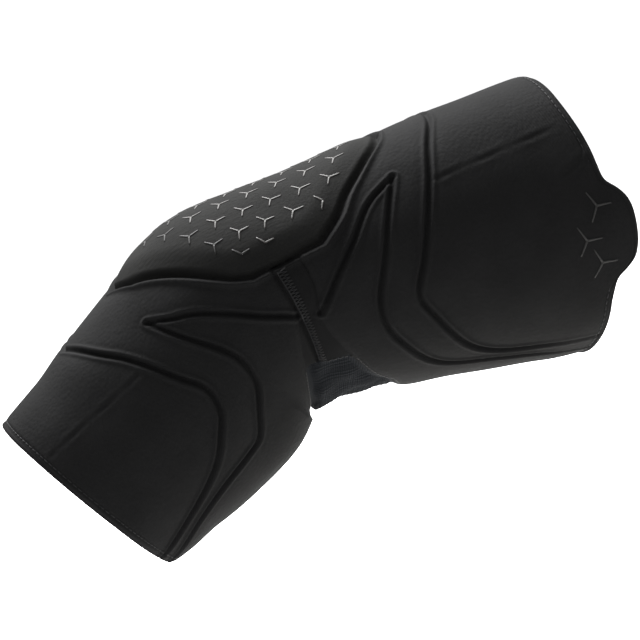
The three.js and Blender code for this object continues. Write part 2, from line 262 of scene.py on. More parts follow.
GROOVE_DEPTH, GROOVE_HALF_WIDTH = 1.75, 0.8
DIP_DEPTH, DIP_HALF_WIDTH = 0.6, 3.6
LIP_HEIGHT, LIP_OFFSET, LIP_HALF_WIDTH = 0.85, 2.1, 0.85
CAP_EDGE_DEPTH, CAP_EDGE_RISE, CAP_DOME = 2.4, 2.6, 1.9
PIPING_HEIGHT, PIPING_OFFSET, PIPING_HALF_WIDTH = 1.15, 2.7, 1.15
FLEX_SINK, CROOK_FLEX_SINK = 1.0, 1.9
GUSSET_SINK, GUSSET_EDGE_SINK, GUSSET_PUFF = 1.95, 1.2, 4.2
RIB_PITCH, COURSE_PITCH = 2.3, 1.9
SEAM_DITCH, CLOSING_DITCH = 1.7, 1.4
RIM_STITCH_INSET = 3.4


def groove_height(s, v):
    """Pressed grooves and their raised lips, fainter in the crook near the wide rim and on the outer line."""
    pressed = np.zeros(s.shape)
    lip = np.zeros(s.shape)
    for line, strength in GROOVES:
        d = distance(s, v, line)
        fade = strength * (1 - 0.7 * smooth(s, 105, 140) * smooth(v, 110, 135)) * (1 - 0.4 * bump(v, 14))
        groove = GROOVE_DEPTH * bump(d, GROOVE_HALF_WIDTH) + DIP_DEPTH * bump(d, DIP_HALF_WIDTH)
        pressed = np.maximum(pressed, fade * groove)
        lip = np.maximum(lip, fade * LIP_HEIGHT * bump(d - LIP_OFFSET, LIP_HALF_WIDTH))
    return lip - pressed


def crease_height(s, v):
    """Shallow, broken creases in the padded cloth."""
    h = np.zeros(s.shape)
    for crease in CREASES:
        d = distance(s, v, rounded(crease))
        broken = 0.65 + 0.35 * np.sin(s / 3.1 + v / 5)
        h += broken * (-0.34 * bump(d, 1.0) + 0.2 * bump(d - 2.2, 1.4))
    return h


def cap_height(s, v, cap, around):
    """The softly raised elbow cap, and the groove and piped edge outside it."""
    d = distance(s, v, CAP_LINE, 16.0)
    inner = -CAP_EDGE_DEPTH + CAP_EDGE_RISE * smooth(d, 0, 3.5) + CAP_DOME * smooth(d, 0, 14)
    piping = (1 - 0.7 * bump(v, 18)) * PIPING_HEIGHT * bump(d - PIPING_OFFSET, PIPING_HALF_WIDTH)
    outside = around - CAP_EDGE_DEPTH * bump(d, 1.0) + piping - 0.5 * bump(d, 5) * (d > 3)
    return np.where(cap, inner, outside)


def gusset_height(s, v, d_edges):
    """The sunken gusset, with its ribs and crumpling, puffed out in the middle of the crook."""
    top = distance(s, v, [[17, GUSSET_SIDE], [33, GUSSET_SIDE]])
    d = np.minimum(d_edges, top + 0.6)
    ribs = 0.2 * np.sin(2 * math.pi * v * MM_PER_DEGREE / RIB_PITCH)
    courses = 0.12 * np.sin(2 * math.pi * s / COURSE_PITCH)
    crumple = 0.5 * np.sin(s / 2.6 + 2.2 * np.sin(v / 9)) + 0.35 * np.sin(v / 2.9 + s / 5)
    puff = GUSSET_PUFF * smooth(v, 120, 160) * bump(s - 10, 18) * smooth(d, 0, 6)
    relief = (ribs + courses + crumple) * smooth(d, 0.5, 4)
    return -GUSSET_SINK - GUSSET_EDGE_SINK * smooth(d, 0, 2.6) + puff + relief


def skin_height(s, v_signed):
    """Height of the outer skin in mm, with its grooves, cap, gusset and creases."""
    v = np.abs(v_signed)
    region = regions(s, v)
    side, shell = region == FLEX, (region == UPPER) | (region == FOREARM)
    h = cap_height(s, v, region == CAP, groove_height(s, v) + crease_height(s, v))
    # flexible side panel and gusset lie lower than the foam, which rolls down to meet them
    d_low, d_high = distance(s, v, LOW_LINE), distance(s, v, HIGH_LINE)
    d_seam, d_flex = distance(s, v, SEAM_LINE), distance(s, v, FLEX_LINE)
    crook_edges = np.minimum(d_low, d_high)
    crook = smooth(v, 80, 94)
    side_edges = np.minimum(np.minimum(d_seam, d_flex), d_high + 14 * (1 - crook))
    settle = smooth(np.where(v < CROOK_START, side_edges, crook_edges), 0, 3)
    h = np.where(side, h - FLEX_SINK * (1 - crook) * settle - crook * (CROOK_FLEX_SINK + 0.3 * settle), h)
    h = np.where(shell, h - crook * (1.2 * bump(crook_edges, 1.6) + 0.7 * bump(crook_edges, 5)), h)
    h = np.where(region == GUSSET, gusset_height(s, v, crook_edges), h)
    # pressed ditch under the side seam
    h -= SEAM_DITCH * bump(d_seam, 1.1) * (v > 60) * (region != CAP)
    # closing seam in the crook, the turned rims and their stitch lines
    closing = shell & (v > 170)
    h -= closing * CLOSING_DITCH * bump((180 - v) * MM_PER_DEGREE, 1.6)
    for end in (UPPER_LENGTH - s, s + FOREARM_LENGTH):
        h -= 1.6 * bump(end, 1.6) + 0.55 * bump(end - RIM_STITCH_INSET, 0.7) + 0.3 * bump(end, 7)
    return h


SWELL, SWELL_SIZE = 0.6, 55.0
RIPPLE, RIPPLE_SIZE = 0.3, 21.0


def outer_line(s):
    """The outer line against the plain girth, in mm: lowest under the cap, fuller at the wide rim."""
    return 0.2 - 1.6 * (1 - smooth(s, -82, -60)) - 4.2 * smooth(s, -6, 16) + 5.2 * smooth(s, 15, 105)


def crook_line(s):
    """The same for the crook line: fuller below the elbow and at the narrow rim, drawn in at the wide rim."""
    return 1.2 * (1 - smooth(s, -95, -80)) + 2.5 * bump(s + 30, 16) - 1.2 * smooth(s, 130, 155)


def drape(s, v, h, amount=1.0):
    """Adds the unevenness of worn cloth and foam: a slow swell, folds round the crook, and the two lines."""
    base = on_sleeve(s, v, 0)
    flat = base.reshape(-1, 3) * 1000
    slow = fabric_noise(flat, 1 / SWELL_SIZE, 1) * SWELL + fabric_noise(flat, 1 / RIPPLE_SIZE, 2) * RIPPLE
    outer = outer_line(s) * (1 - smooth(np.abs(v), 25, 75))
    crook = crook_line(s) * smooth(np.abs(v), 120, 158)
    near_crook = bump((np.abs(v) - 150) * MM_PER_DEGREE, 38) * bump(s - 18, 30)
    folds = np.sin((s - 18) / 3.9 + 1.7 * np.sin(np.radians(v) * 3)) * near_crook * 0.35
    pull = np.sin(np.radians(v) * 9 + s / 24) * bump(s + 35, 40) * 0.12
    return h + amount * (slow.reshape(h.shape) + folds + pull + outer + crook)


# ------------------------------------------------------------------ mesh helpers

BODY_UPPER, BODY_FOREARM = "upper_sleeve", "forearm_sleeve"
BEND_WAY = Vector((-math.cos(REST_BEND) - 1, 0, -math.sin(REST_BEND))).normalized()
BEND_REACH = 0.075  # metres each way from the elbow, giving BEND_START and BEND_END along the bend
BEND_START, BEND_END = -BEND_WAY * BEND_REACH, BEND_WAY * BEND_REACH


def new_object(name, points, faces, uv, material):
    """A smooth-shaded mesh object with one material; uv has one row for each point."""
    mesh = bpy.data.meshes.new(name)
    points = np.asarray(points, float).reshape(-1, 3)
    mesh.from_pydata(points.tolist(), [], np.asarray(faces).tolist())
    layer = mesh.uv_layers.new(name="UVMap")
    loops = np.empty(len(mesh.loops), np.int32)
    mesh.loops.foreach_get("vertex_index", loops)
    layer.data.foreach_set("uv", np.asarray(uv, np.float32).reshape(-1, 2)[loops].ravel())
    mesh.polygons.foreach_set("use_smooth", [True] * len(mesh.polygons))
    mesh.materials.append(material)
    mesh.update()
    obj = bpy.data.objects.new(name, mesh)
    bpy.context.scene.collection.objects.link(obj)
    return obj


def grid_faces(rows, columns, wrap=False):
    """Faces of a grid of points, closed round its columns where wrap is set."""
    i, j = np.meshgrid(np.arange(rows - 1), np.arange(columns if wrap else columns - 1), indexing="ij")
    k = (j + 1) % columns
    here, following = i * columns, (i + 1) * columns
    return np.stack([here + j, here + k, following + k, following + j], -1).reshape(-1, 4)


def part_of(name, points, faces, uv, material):
    """A mesh with only the points that its faces use."""
    used, index = np.unique(faces, return_inverse=True)
    return new_object(name, points[used], index.reshape(faces.shape), uv[used], material)


def bends(obj, slot, *nodes):
    """A piece laid across the elbow: bakes its placement into its mesh and hides the named model parts."""
    tuple(BEND_START)
    tuple(BEND_END)
    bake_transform(obj)
    if nodes:
        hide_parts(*nodes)
    return obj


def rides(obj, body, slot, *nodes):
    """A piece that moves with one body."""
    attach(obj, body)
    if nodes:
        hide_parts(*nodes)
    return obj


# ------------------------------------------------------------------ materials


MOTTLE = 0.10  # how far the cloth's tone wanders each way


def fabric(name, colour, roughness, sheen, weave_mm, weave_depth, pebble_mm=0, pebble_depth=0, ribs=False):
    """Knitted cloth, with a pebbled face where pebble_mm is given; UV is in millimetres on the cloth."""
    material = bpy.data.materials.new(name)
    material.use_nodes = True
    nodes, links = material.node_tree.nodes, material.node_tree.links
    shader = nodes["Principled BSDF"]
    shader.inputs["Roughness"].default_value = roughness
    shader.inputs["Specular IOR Level"].default_value = 0.02
    shader.inputs["Sheen Weight"].default_value = sheen
    shader.inputs["Sheen Roughness"].default_value = 0.45
    shader.inputs["Sheen Tint"].default_value = (0.9, 0.92, 1.0, 1)
    uv = nodes.new("ShaderNodeTexCoord")
    # colour: the base tone, mottled, and darker between the threads
    mottle = nodes.new("ShaderNodeTexNoise")
    mottle.inputs["Scale"].default_value = 0.06
    mottle.inputs["Detail"].default_value = 5.0
    links.new(uv.outputs["UV"], mottle.inputs["Vector"])
    ramp = nodes.new("ShaderNodeValToRGB")
    low = [c * (1 - MOTTLE) for c in colour]
    high = [c * (1 + MOTTLE) for c in colour]
    ramp.color_ramp.elements[0].position = 0.3
    ramp.color_ramp.elements[0].color = (*low, 1)
    ramp.color_ramp.elements[1].position = 0.7
    ramp.color_ramp.elements[1].color = (*high, 1)
    links.new(mottle.outputs["Fac"], ramp.inputs["Fac"])
    # weave: two crossed thread directions
    mapping = nodes.new("ShaderNodeMapping")
    mapping.inputs["Rotation"].default_value = (0, 0, 0.0 if ribs else math.radians(45))
    links.new(uv.outputs["UV"], mapping.inputs["Vector"])
    waves = []
    for direction in ("X", "Y"):
        wave = nodes.new("ShaderNodeTexWave")
        wave.wave_type = "BANDS"
        wave.bands_direction = direction
        wave.inputs["Scale"].default_value = 0.314 / weave_mm
        wave.inputs["Distortion"].default_value = 0.6
        wave.inputs["Detail Scale"].default_value = 1.2
        links.new(mapping.outputs["Vector"], wave.inputs["Vector"])
        waves.append(wave)
    threads = nodes.new("ShaderNodeMath")
    threads.operation = "MULTIPLY"
    links.new(waves[0].outputs["Fac"], threads.inputs[0])
    links.new(waves[1].outputs["Fac"], threads.inputs[1])
    shade = nodes.new("ShaderNodeMix")
    shade.data_type = "RGBA"
    shade.blend_type = "MULTIPLY"
    shade.inputs["Factor"].default_value = 0.55
    grey = nodes.new("ShaderNodeMapRange")
    grey.inputs["To Min"].default_value = 0.3 if ribs else 0.55
    grey.inputs["To Max"].default_value = 2.2 if ribs else 1.35
    links.new(threads.outputs["Value"], grey.inputs["Value"])
    links.new(ramp.outputs["Color"], shade.inputs[6])
    links.new(grey.outputs["Result"], shade.inputs[7])
    links.new(shade.outputs[2], shader.inputs["Base Color"])
    last = nodes.new("ShaderNodeBump")
    last.inputs["Strength"].default_value = 0.7
    last.inputs["Distance"].default_value = weave_depth / 1000
    links.new(threads.outputs["Value"], last.inputs["Height"])
    if pebble_mm:
        cells = nodes.new("ShaderNodeTexVoronoi")
        cells.inputs["Scale"].default_value = 1.0 / pebble_mm
        links.new(uv.outputs["UV"], cells.inputs["Vector"])
        pebbles = nodes.new("ShaderNodeBump")
        pebbles.invert = True
        pebbles.inputs["Strength"].default_value = 0.5
        pebbles.inputs["Distance"].default_value = pebble_depth / 1000
        links.new(cells.outputs["Distance"], pebbles.inputs["Height"])
        links.new(last.outputs["Normal"], pebbles.inputs["Normal"])
        last = pebbles
    links.new(last.outputs["Normal"], shader.inputs["Normal"])
    return material


def plain(name, colour, roughness, sheen=0.0, noise_scale=900.0, noise_depth=0.05):
    """A material of one colour with a fine grain; noise_depth is in millimetres."""
    material = bpy.data.materials.new(name)
    material.use_nodes = True
    nodes, links = material.node_tree.nodes, material.node_tree.links
    shader = nodes["Principled BSDF"]
    shader.inputs["Base Color"].default_value = (*colour, 1)
    shader.inputs["Roughness"].default_value = roughness
    shader.inputs["Specular IOR Level"].default_value = 0.08
    shader.inputs["Sheen Weight"].default_value = sheen
    coordinates = nodes.new("ShaderNodeTexCoord")
    grain = nodes.new("ShaderNodeTexNoise")
    grain.inputs["Scale"].default_value = noise_scale
    grain.inputs["Detail"].default_value = 4.0
    links.new(coordinates.outputs["Object"], grain.inputs["Vector"])
    relief = nodes.new("ShaderNodeBump")
    relief.inputs["Strength"].default_value = 0.6
    relief.inputs["Distance"].default_value = noise_depth / 1000
    links.new(grain.outputs["Fac"], relief.inputs["Height"])
    links.new(relief.outputs["Normal"], shader.inputs["Normal"])
    return material


SHELL = fabric("padded_shell_cloth", (0.0066, 0.0066, 0.0067), 0.85, 0.0, 0.55, 0.14, 1.7, 0.32)
CAP_CLOTH = fabric("cap_cloth", (0.0068, 0.0068, 0.0066), 0.80, 0.0, 0.45, 0.12, 1.4, 0.24)
FLEX_CLOTH = fabric("flex_knit", (0.0056, 0.0056, 0.0057), 0.9, 0.0, 0.5, 0.12)
RIB_CLOTH = fabric("gusset_rib", (0.0068, 0.0074, 0.0084), 0.9, 0.0, 1.0, 0.35, ribs=True)
LINING = fabric("lining_knit", (0.0090, 0.0090, 0.0095), 0.9, 0.04, 0.9, 0.2, 2.4, 0.3)
THREAD = plain("thread", (0.0060, 0.0060, 0.0063), 0.6, 0.02)
BINDING = fabric("rim_binding", (0.0060, 0.0060, 0.0062), 0.9, 0.0, 0.6, 0.15)
PALE_THREAD = plain("pale_thread", (0.011, 0.011, 0.0115), 0.7, 0.0)
SILICONE = plain("silicone", (0.0080, 0.0080, 0.0085), 0.35, 0.0, 300.0, 0.03)
PRINT_INK = plain("print_ink", (0.034, 0.0325, 0.031), 0.5, 0.0, 1200.0, 0.02)
# a dimmer copy of the print ink: painted shade for marks on the shaded sides of the cap and on the tab
PRINT_INK_SHADED = plain("print_ink_painted_shade", (0.0135, 0.0133, 0.0130), 0.6, 0.0, 1200.0, 0.02)

# ------------------------------------------------------------------ the outer skin

STEP = 0.62
COLUMNS = 555
s_line = np.linspace(-FOREARM_LENGTH, UPPER_LENGTH, round((UPPER_LENGTH + FOREARM_LENGTH) / STEP) + 1)
v_line = np.linspace(-180, 180, COLUMNS)
S, V = np.meshgrid(s_line, v_line, indexing="ij")


def snap_rows(line, low, high):
    """Moves one vertex of each column onto a line given as s over v."""
    for j, at in enumerate(np.abs(v_line)):
        if low <= at <= high:
            s = float(edge_at(line, at))
            S[np.abs(s_line - s).argmin(), j] = s


def snap_columns(line, low, high):
    """Moves one vertex of each row onto a line given as v over s, on both sides."""
    for i, at in enumerate(s_line):
        if low < at < high:
            edge = float(np.interp(at, *np.transpose(line)))
            for sign in (-1, 1):
                V[i, np.abs(v_line - sign * edge).argmin()] = sign * edge


snap_rows(CROOK_LOW, CROOK_START, 180)
snap_rows(CROOK_HIGH, CROOK_START, 180)
snap_rows(SIDE_SEAM, 64, CROOK_START)
snap_rows(FLEX_EDGE, 62, CROOK_START)
snap_rows(CAP_LOW_CURVE, 0, 62.6)
snap_rows(CAP_HIGH_CURVE, 0, 61.6)
snap_columns(CAP_SIDE, 4.5, 24)
H = drape(S, V, skin_height(S, V))
SKIN = on_sleeve(S, V, H).reshape(-1, 3)
SKIN_UV = np.stack([S, V * MM_PER_DEGREE], -1).reshape(-1, 2)
FACES = grid_faces(*S.shape)
middle_s = S.reshape(-1)[FACES].mean(1)
middle_v = np.abs(V.reshape(-1)[FACES].mean(1))
FACE_REGION = regions(middle_s, middle_v)


def skin_piece(name, region, material, slot, *nodes):
    """One panel of the skin."""
    obj = part_of(name, SKIN, FACES[FACE_REGION == region], SKIN_UV, material)
    return bends(obj, slot, *nodes)


upper = skin_piece(
    "upper_panel", UPPER, SHELL, "foam_panel",
    "upper_main_pad", "upper_arch_pad", "upper_wing_pad_right", "upper_wing_pad_left", "upper_knit",
)
forearm = skin_piece(
    "forearm_panel", FOREARM, SHELL, "foam_panel",
    "forearm_main_pad", "forearm_arch_pad", "forearm_wing_pad_right", "forearm_wing_pad_left", "forearm_knit",
)
cap = skin_piece("elbow_cap", CAP, CAP_CLOTH, "cap_cover", "elbow_cap_foam", "elbow_cap_cover")
skin_piece("side_flex_panels", FLEX, FLEX_CLOTH, "shell_knit", "elbow_knit")
skin_piece("ribbed_gusset", GUSSET, RIB_CLOTH, "rib_knit", "crook_gusset")


def skin_at(s, v):
    """Height of the finished skin at any points."""
    i = np.interp(s, s_line, np.arange(len(s_line)))
    j = np.interp(v, v_line, np.arange(len(v_line)))
    i0, j0 = np.clip(i.astype(int), 0, len(s_line) - 2), np.clip(j.astype(int), 0, len(v_line) - 2)
    a, b = i - i0, j - j0
    return (H[i0, j0] * (1 - a) * (1 - b) + H[i0 + 1, j0] * a * (1 - b)
            + H[i0, j0 + 1] * (1 - a) * b + H[i0 + 1, j0 + 1] * a * b)


# ------------------------------------------------------------------ lining, grippers and hems

LINING_HEIGHT = -7.1
LINING_INSET = 0.5  # mm from each rim
LINING_ROWS, LINING_COLUMNS = 190, 240
ls = np.linspace(-FOREARM_LENGTH + LINING_INSET, UPPER_LENGTH - LINING_INSET, LINING_ROWS)
lv = np.linspace(-180, 180, LINING_COLUMNS + 1)[:-1]
LS, LV = np.meshgrid(ls, lv, indexing="ij")
lining = new_object(
    "lining", on_sleeve(LS, LV, drape(LS, LV, np.full(LS.shape, LINING_HEIGHT), 0.5)),
    grid_faces(*LS.shape, wrap=True)[:, ::-1], np.stack([LS, LV * MM_PER_DEGREE], -1), LINING,
)
bends(lining, "lining", "upper_liner", "elbow_liner", "forearm_liner")


def ring(name, s_low, s_high, h_low, h_high, material, corners=3.0, lobes=0, steps=20, turns=240):
    """A band round the arm; more corners make its section squarer, and lobes sway it from side to side."""
    around = np.linspace(0, 360, turns, endpoint=False)
    t = np.linspace(0, 2 * math.pi, steps, endpoint=False)
    power = 2 / corners
    along = np.sign(np.cos(t)) * np.abs(np.cos(t)) ** power
    up = np.sign(np.sin(t)) * np.abs(np.sin(t)) ** power
    A, T = np.meshgrid(around, np.arange(steps), indexing="ij")
    half = (s_high - s_low) / 2
    wave = half * 0.18 * np.sin(np.radians(A) * lobes) if lobes else 0
    s = (s_low + s_high) / 2 + along[T] * half + wave
    h = (h_low + h_high) / 2 + up[T] * (h_high - h_low) / 2
    i, j = np.meshgrid(np.arange(turns), np.arange(steps), indexing="ij")
    here, following, k = i * steps, ((i + 1) % turns) * steps, (j + 1) % steps
    faces = np.stack([here + j, following + j, following + k, here + k], -1).reshape(-1, 4)
    return new_object(name, on_sleeve(s, A, h), faces, np.stack([s, A * MM_PER_DEGREE], -1), material)


HEM_BOTTOM = -7.6
upper_hem = ring("upper_hem_binding", UPPER_LENGTH - 2.8, UPPER_LENGTH + 0.3, HEM_BOTTOM, -1.1, BINDING)
rides(upper_hem, BODY_UPPER, "thread", "upper_hem")
forearm_hem = ring("forearm_hem_binding", -FOREARM_LENGTH, -FOREARM_LENGTH + 2.6, HEM_BOTTOM, -1.7, BINDING)
rides(forearm_hem, BODY_FOREARM, "thread", "forearm_hem")

GRIP_INSET = 12  # mm from the rim to the middle of the silicone lines
GRIP_LINES = (-4.8, -1.6, 1.6, 4.8)
GRIP_HALF_WIDTH = 0.9
GRIP_BOTTOM, GRIP_TOP = -8.5, -7.4


def gripper(name, middle, body, node):
    """Wavy silicone lines inside one rim, joined into one piece."""
    rows = []
    for offset in GRIP_LINES:
        at = middle + offset
        rows.append(ring(
            f"{name}_{len(rows)}", at - GRIP_HALF_WIDTH, at + GRIP_HALF_WIDTH, GRIP_BOTTOM, GRIP_TOP,
            SILICONE, corners=2.0, lobes=30, steps=8,
        ))
    with bpy.context.temp_override(active_object=rows[0], selected_editable_objects=rows):
        bpy.ops.object.join()
    rows[0].name = name
    return rides(rows[0], body, "silicone", node)


gripper("upper_grip_lines", UPPER_LENGTH - GRIP_INSET, BODY_UPPER, "upper_gripper")
gripper("forearm_grip_lines", -FOREARM_LENGTH + GRIP_INSET, BODY_FOREARM, "forearm_gripper")

# ------------------------------------------------------------------ threads and seams


TUBE_SIDES = 6
STITCH_RADIUS, SEAM_STITCH_RADIUS, CORD_RADIUS = 0.22, 0.24, 0.3


def tubes(name, paths, radius_mm, material):
    """Round threads along paths, each an array of (s, v, h) points."""
    sides = TUBE_SIDES
    points, faces, uvs = [], [], []
    for path in paths:
        path = np.asarray(path, float)
        centre = on_sleeve(path[:, 0], path[:, 1], path[:, 2])
        tangent = np.gradient(centre, axis=0)
        tangent /= np.linalg.norm(tangent, axis=1)[:, None] + 1e-12
        up = on_sleeve(path[:, 0], path[:, 1], path[:, 2] + 1) - centre
        side = np.cross(tangent, up)
        side /= np.linalg.norm(side, axis=1)[:, None] + 1e-12
        up = np.cross(side, tangent)
        angle = np.linspace(0, 2 * math.pi, sides, endpoint=False)
        outwards = np.cos(angle)[None, :, None] * side[:, None] + np.sin(angle)[None, :, None] * up[:, None]
        loop = centre[:, None] + radius_mm / 1000 * outwards
        start = sum(len(p) for p in points)
        faces.append(start + grid_faces(len(path), sides, wrap=True)[:, [0, 3, 2, 1]])
        points.append(loop.reshape(-1, 3))
        uvs.append(np.zeros((len(path) * sides, 2)))
    return new_object(name, np.vstack(points), np.vstack(faces), np.vstack(uvs), material)


def along(line, spacing):
    """Points evenly spaced on a line, with the unit direction across it, in (s, v)."""
    line = np.asarray(line, float)
    k = stretch(line[:, 0], line[:, 1])
    step = np.hypot(np.diff(line[:, 0]) * (k[1:] + k[:-1]) / 2, np.diff(line[:, 1]) * MM_PER_DEGREE)
    total = np.concatenate([[0], np.cumsum(step)])
    at = np.arange(spacing / 2, total[-1], spacing)
    s, v = np.interp(at, total, line[:, 0]), np.interp(at, total, line[:, 1])
    ds = np.interp(at + 0.5, total, line[:, 0]) - np.interp(at - 0.5, total, line[:, 0])
    dv = np.interp(at + 0.5, total, line[:, 1]) - np.interp(at - 0.5, total, line[:, 1])
    length = np.hypot(ds, dv * MM_PER_DEGREE) + 1e-9
    return s, v, -dv * MM_PER_DEGREE / length, ds / length


def ladder(line, width, pitch, lift, sign):
    """Zigzag rungs of thread across a seam."""
    s, v, ns, nv = along(line, pitch / 2)
    v, nv = sign * v, sign * nv
    rungs = []
    for i in range(len(s) - 1):
        a = -1 if i % 2 else 1
        t = np.linspace(-1, 1, 7)
        ps = s[i] + (s[i + 1] - s[i]) * (t + 1) / 2 + ns[i] * a * t * width / 2
        pv = v[i] + (v[i + 1] - v[i]) * (t + 1) / 2 + nv[i] * a * t * width / 2 / MM_PER_DEGREE
        rungs.append(np.stack([ps, pv, skin_at(ps, pv) + lift * (1 - t * t) + 0.15], -1))
    return rungs


def running(line, stitch, gap, lift, sign, offset=0.0):
    """A row of single stitches beside a line."""
    s, v, ns, nv = along(line, stitch + gap)
    v, nv = sign * v, sign * nv
    out = []
    for i in range(len(s) - 1):
        t = np.linspace(0, stitch / (stitch + gap), 5)
        ps = s[i] + (s[i + 1] - s[i]) * t + ns[i] * offset
        pv = v[i] + (v[i + 1] - v[i]) * t + nv[i] * offset / MM_PER_DEGREE
        x = t / t[-1] * 2 - 1
        out.append(np.stack([ps, pv, skin_at(ps, pv) + lift * (1 - x * x) + 0.05], -1))
    return out


def chain(line, sign, offset, lift):
    """One unbroken thread beside a line."""
    s, v, ns, nv = along(line, 0.8)
    ps, pv = s + ns * offset, sign * (v + nv * offset / MM_PER_DEGREE)
    return np.stack([ps, pv, skin_at(ps, pv) + lift], -1)


LADDER_WIDTH = 2.8
BESIDE_SEAM = SEAM_LINE + np.array([2.7, 0])
for name, sign in (("right", 1), ("left", -1)):
    rungs = ladder(BESIDE_SEAM, LADDER_WIDTH, 1.5, 0.3, sign)
    stitches = tubes(f"side_seam_stitches_{name}", rungs, STITCH_RADIUS, THREAD)
    bends(stitches, "thread", f"side_seam_{name}")
    cord = tubes(f"side_seam_cord_{name}", [chain(BESIDE_SEAM, sign, 1.5, 0.1)], CORD_RADIUS, THREAD)
    bends(cord, "thread")


def both_sides(line, offset):
    """Running stitches beside a gusset edge, on the right and on the left."""
    return running(line, 1.6, 0.8, 0.2, 1, offset) + running(line, 1.6, 0.8, 0.2, -1, offset)


high_path = np.array([[21, 119], [28, 119.5]] + [list(p) for p in HIGH_LINE if p[1] > 119])
low_path = np.array([list(p) for p in LOW_LINE if p[1] > 118])
CROOK_MIDDLE = 179.9  # just short of 180, where the skin's grid ends
closing_high = [[61, CROOK_MIDDLE], [150, CROOK_MIDDLE]]
closing_low = [[-102, CROOK_MIDDLE], [-8, CROOK_MIDDLE]]
for name, paths, node in (
    ("gusset_stitches_upper", both_sides(high_path, -1.2), "gusset_seam_upper"),
    ("gusset_stitches_forearm", both_sides(low_path, 1.2), "gusset_seam_forearm"),
    ("closing_stitches_upper", ladder(closing_high, LADDER_WIDTH, 1.7, 0.25, 1), "upper_closing_seam"),
    ("closing_stitches_forearm", ladder(closing_low, LADDER_WIDTH, 1.7, 0.25, 1), "forearm_closing_seam"),
):
    bends(tubes(name, paths, SEAM_STITCH_RADIUS, THREAD), "thread", node)

for name, at, body in (
    ("upper_hem_stitches", UPPER_LENGTH - RIM_STITCH_INSET, BODY_UPPER),
    ("forearm_hem_stitches", -FOREARM_LENGTH + RIM_STITCH_INSET, BODY_FOREARM),
):
    around_rim = [[at, v] for v in range(-179, 180, 3)]
    stitches = tubes(name, running(around_rim, 2.0, 0.9, 0.2, 1), STITCH_RADIUS, PALE_THREAD)
    rides(stitches, body, "thread")

# ------------------------------------------------------------------ printed marks


def outer_length(s):
    """Length along the outer elbow line from s = 0."""
    on_arc = np.clip(s, -ARC_HALF, ARC_HALF)
    return s + on_arc * ELBOW_REACH / BEND_RADIUS


CAP_STATIONS = np.linspace(-40, 90, 400)
CAP_LENGTHS = outer_length(CAP_STATIONS)


def at_length(length):
    """s at a length along the outer elbow line."""
    return np.interp(length, CAP_LENGTHS, CAP_STATIONS)


MARK_STEPS = 6
MARK_TAPER = 0.45
MARK_WIDTH = 0.9
PRINT_LIFT = 0.14
PRINT_THICKNESS = 0.00012


def mark(points, faces, place, turn, size=5.0, shows=None, arms=(0, 1, 2)):
    """A three-armed mark of tapered strips; place(a, b) gives (s, v, h) a mm along and b mm round."""
    for arm in arms:
        angle = math.radians(turn + 120 * arm)
        c, n = (math.cos(angle), math.sin(angle)), (-math.sin(angle), math.cos(angle))
        if shows and not shows(*place(size * c[0], size * c[1])[:2]):
            continue
        start = len(points)
        for t in np.linspace(0, 1, MARK_STEPS):
            for e in (-1, 1):
                half = e * MARK_WIDTH / 2 * (1 - MARK_TAPER * t)
                points.append(place(t * size * c[0] + half * n[0], t * size * c[1] + half * n[1]))
        for k in range(start, start + 2 * (MARK_STEPS - 1), 2):
            faces.append((k, k + 1, k + 3, k + 2))


def within_print(s, v):
    """Whether a point lies on the printed part of the cap."""
    s, v = np.array([float(s)]), np.array([abs(float(v))])
    return inside(s, v, CAP_POLYGON)[0] and distance(s, v, CAP_LINE)[0] > 5.6


def cap_place(length, v):
    """place() for a mark on the cap, centred at a length along it and an angle round it."""
    def place(a, b):
        s, around = float(at_length(length + a)), v + b / MM_PER_DEGREE
        return s, around, float(skin_at(np.array([s]), np.array([around]))[0]) + PRINT_LIFT
    return place


def print_object(name, points, faces, material):
    """Printed marks as a thin layer of ink."""
    p = np.array(points)
    obj = new_object(name, on_sleeve(p[:, 0], p[:, 1], p[:, 2]), faces, np.zeros((len(p), 2)), material)
    solid = obj.modifiers.new("ink", "SOLIDIFY")
    solid.thickness = PRINT_THICKNESS
    solid.offset = 0
    with bpy.context.temp_override(object=obj, active_object=obj):
        bpy.ops.object.modifier_apply(modifier="ink")
    return obj


ROW_ANGLES = {0: 0.4, 1: 12.9, 2: 26.4, 3: 39.7, 4: 51.6}  # v of each row, counted from the outer line
COLUMN_PITCH = 13.6
LAST_ROW = 4  # its marks lack the arm that points off the cap
bright, shaded_marks = ([], []), ([], [])
for row in range(-3, LAST_ROW + 1):
    v = math.copysign(ROW_ANGLES[abs(row)], row)
    arms = (0, 2) if row == LAST_ROW else (0, 1, 2)
    for column in range(-3, 2 if row == LAST_ROW else 8):
        length = COLUMN_PITCH * column + (2.2 if row % 2 else 8.2 + 0.6 * abs(row))
        if within_print(at_length(length), v) and length > 8 * abs(row) - 27:
            # marks low on the cap's sides, towards the forearm, get the dimmer ink as painted shade
            in_shade = length < 0.45 * (abs(v) - 10)
            mark(*(shaded_marks if in_shade else bright), cap_place(length, v), -5, shows=within_print, arms=arms)
bends(print_object("cap_marks", *bright, PRINT_INK), "cap_cover")
bends(print_object("cap_marks_painted_shade", *shaded_marks, PRINT_INK_SHADED), "cap_cover")

# ------------------------------------------------------------------ pull tab

# the tongue's rounded edge, as points [s, v]
TAB_EDGE = [
    [152.3, 52], [152.6, 58], [152.8, 62], [153, 66], [153.5, 69], [154.6, 71], [156.8, 73], [158.9, 75],
    [161.2, 78], [162.5, 81], [163.1, 84], [163.3, 88], [163.2, 92], [162.8, 96], [162.1, 99], [161, 102],
    [159.7, 104], [157.6, 106], [155.6, 107.5], [154, 109], [152.9, 112], [152.3, 117],
]
TAB_START, TAB_END = TAB_EDGE[0][1], TAB_EDGE[-1][1]
TAB_CURVE = rounded(TAB_EDGE)
TAB_ROOT = 138  # s where the tab starts, hidden just under the skin
TAB_ROWS, TAB_COLUMNS = 61, 85


